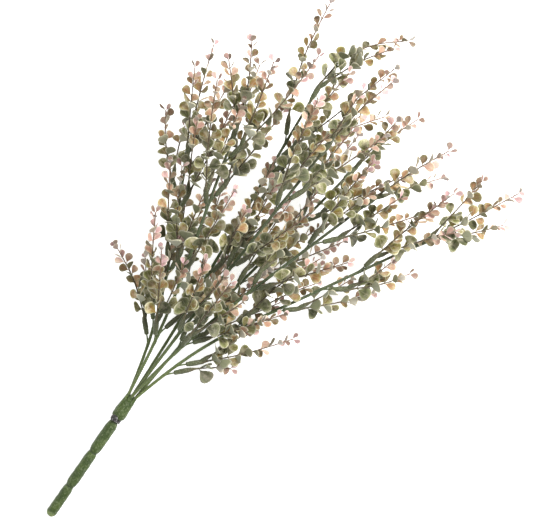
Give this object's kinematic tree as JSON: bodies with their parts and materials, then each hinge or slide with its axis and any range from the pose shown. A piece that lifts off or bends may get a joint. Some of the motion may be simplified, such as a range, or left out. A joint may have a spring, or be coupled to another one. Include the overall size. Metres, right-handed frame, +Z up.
{
  "type": "artificial eucalyptus bush",
  "caption": "Artificial eucalyptus bush with a moulded handle, bendable branches and push-on sprigs of round leaves, lying on its side.",
  "frame": {"origin": "centre of the bounding box's underside: the bush lies on z = 0", "axes": "+X from the handle's end towards the foliage, +Z up from the surface it lies on, +Y to the left of the foliage seen from above"},
  "size_m": [0.5456, 0.323, 0.1437],
  "materials": {
    "handle_green": "moulded green plastic with a fine rough skin",
    "branch_green": "green plastic over a wire core, fine rough skin",
    "leaf_sage": "matt plastic leaves, powdery, sage green fading to orange and dusty pink at the tips",
    "wire": "dark bare wire"
  },
  "bodies": {
    "root": {"branch_1": "branch_green", "branch_1_sprig_1": "leaf_sage", "branch_1_sprig_2": "leaf_sage", "branch_1_sprig_3": "leaf_sage", "branch_1_sprig_4": "leaf_sage", "branch_1_sprig_5": "leaf_sage", "branch_1_sprig_6": "leaf_sage", "branch_1_sprig_7": "leaf_sage", "branch_2": "branch_green", "branch_2_sprig_1": "leaf_sage", "branch_2_sprig_2": "leaf_sage", "branch_2_sprig_3": "leaf_sage", "branch_2_sprig_4": "leaf_sage", "branch_2_sprig_5": "leaf_sage", "branch_2_sprig_6": "leaf_sage", "branch_2_sprig_7": "leaf_sage", "branch_2_sprig_8": "leaf_sage", "branch_3": "branch_green", "branch_3_sprig_1": "leaf_sage", "branch_3_sprig_2": "leaf_sage", "branch_3_sprig_3": "leaf_sage", "branch_3_sprig_4": "leaf_sage", "branch_3_sprig_5": "leaf_sage", "branch_3_sprig_6": "leaf_sage", "branch_3_sprig_7": "leaf_sage", "branch_3_sprig_8": "leaf_sage", "branch_4": "branch_green", "branch_4_sprig_1": "leaf_sage", "branch_4_sprig_2": "leaf_sage", "branch_4_sprig_3": "leaf_sage", "branch_4_sprig_4": "leaf_sage", "branch_4_sprig_5": "leaf_sage", "branch_4_sprig_6": "leaf_sage", "branch_4_sprig_7": "leaf_sage", "branch_5": "branch_green", "branch_5_sprig_1": "leaf_sage", "branch_5_sprig_2": "leaf_sage", "branch_5_sprig_3": "leaf_sage", "branch_5_sprig_4": "leaf_sage", "branch_5_sprig_5": "leaf_sage", "branch_5_sprig_6": "leaf_sage", "branch_5_sprig_7": "leaf_sage", "branch_6": "branch_green", "branch_6_sprig_1": "leaf_sage", "branch_6_sprig_2": "leaf_sage", "branch_6_sprig_3": "leaf_sage", "branch_6_sprig_4": "leaf_sage", "branch_6_sprig_5": "leaf_sage", "branch_6_sprig_6": "leaf_sage", "branch_6_sprig_7": "leaf_sage", "branch_7": "branch_green", "branch_7_sprig_1": "leaf_sage", "branch_7_sprig_2": "leaf_sage", "branch_7_sprig_3": "leaf_sage", "branch_7_sprig_4": "leaf_sage", "branch_7_sprig_5": "leaf_sage", "branch_7_sprig_6": "leaf_sage", "branch_7_sprig_7": "leaf_sage", "handle": "handle_green", "neck_wire": "wire"}
  },
  "joints": []
}
